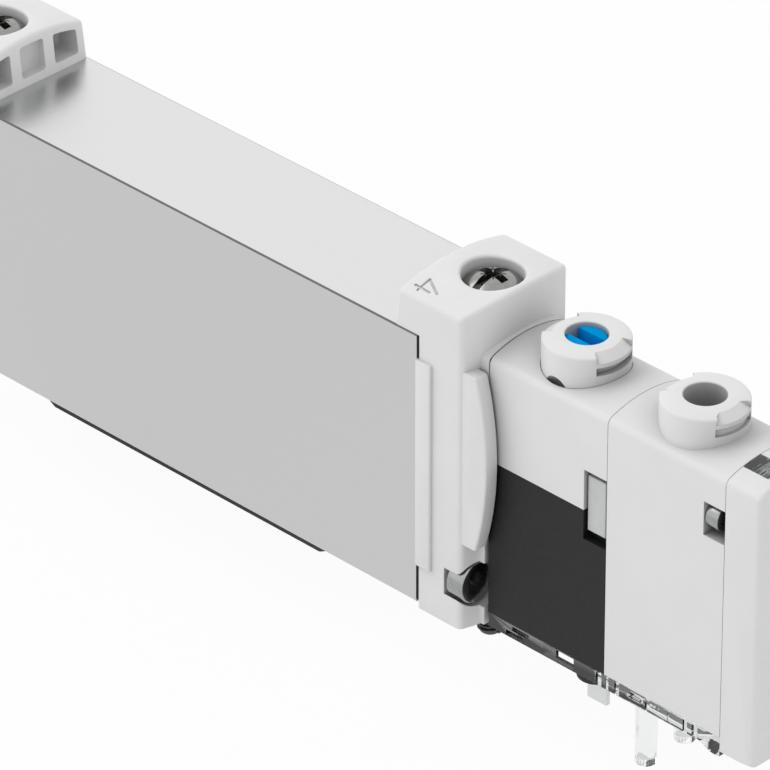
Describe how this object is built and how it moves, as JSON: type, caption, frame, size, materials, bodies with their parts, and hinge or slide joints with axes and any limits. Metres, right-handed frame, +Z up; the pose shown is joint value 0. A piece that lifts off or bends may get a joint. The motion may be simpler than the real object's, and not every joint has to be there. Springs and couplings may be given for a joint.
{
  "type": "pneumatic solenoid valve",
  "caption": "Slim sub-base solenoid valve: metal spool body between moulded caps, with a pilot coil section, a manual override and a plug-in underside.",
  "frame": {"origin": "midway between the two mounting screws, on the mounting face under the base gasket", "axes": "+X along the valve towards the pilot, +Y across it, +Z up away from the sub-base"},
  "size_m": [0.1075, 0.0144, 0.0415],
  "materials": {
    "body_aluminium": "satin",
    "cap_polymer": "matt",
    "pilot_polymer": "matt",
    "coil_polymer": "matt",
    "clip_polymer": "matt",
    "button_polymer": "satin",
    "bobbin_polymer": "matt",
    "clear_polymer": "clear",
    "seal_rubber": "matt",
    "screw_steel": "bright zinc plated",
    "dark_steel": "black oxide",
    "spool_aluminium": "turned",
    "spring_steel": "drawn wire",
    "magnet_steel": "machined",
    "coil_copper": "enamelled wire",
    "contact_metal": "tin plated"
  },
  "bodies": {
    "valve": {"valve_body": "body_aluminium", "base_gasket": "seal_rubber", "pilot_cap": "cap_polymer", "end_cap": "cap_polymer", "pilot_cap_seal": "seal_rubber", "end_cap_seal": "seal_rubber", "mounting_screws": "screw_steel", "cap_screws": "dark_steel", "return_spring": "spring_steel", "pilot_gasket": "seal_rubber", "pilot_housing": "pilot_polymer", "coil_housing": "coil_polymer", "bobbin": "bobbin_polymer", "winding": "coil_copper", "coil_yoke": "magnet_steel", "fixed_core": "magnet_steel", "armature_spring": "spring_steel", "override_ring": "pilot_polymer", "override_spring": "spring_steel", "retaining_clips": "clip_polymer", "blank_cover": "pilot_polymer", "pilot_screws": "dark_steel", "end_cover": "pilot_polymer", "indicator_window": "clear_polymer", "light_guide": "clear_polymer", "contact_blades": "contact_metal", "contact_seals": "seal_rubber"},
    "spool_body": {"spool": "spool_aluminium", "spool_seals": "seal_rubber", "pilot_piston": "bobbin_polymer", "piston_seal": "seal_rubber"},
    "armature_body": {"armature": "magnet_steel", "armature_seal": "seal_rubber"},
    "override_slider": {"override_seal": "seal_rubber"},
    "override_button": {"override_plunger": "button_polymer"}
  },
  "joints": [
    {"name": "spool_slide", "type": "slide", "parent": "valve", "child": "spool_body", "axis": [-1, 0, 0], "range_m": [0, 0.003], "stiffness_N_per_m": 100, "springref_m": -0.003, "deforming": ["return_spring"]},
    {"name": "armature_slide", "type": "slide", "parent": "valve", "child": "armature_body", "axis": [0, 0, -1], "range_m": [0, 0.0004], "stiffness_N_per_m": 200, "springref_m": -0.001, "deforming": ["armature_spring"]},
    {"name": "override_press", "type": "slide", "parent": "valve", "child": "override_slider", "axis": [0, 0, -1], "range_m": [0, 0.0012], "stiffness_N_per_m": 300, "springref_m": -0.001, "deforming": ["override_spring"]},
    {"name": "override_turn", "type": "hinge", "parent": "override_slider", "child": "override_button", "pos_m": [0.04478, 0, 0.03], "axis": [0, 0, -1], "range_deg": [0, 90]}
  ]
}
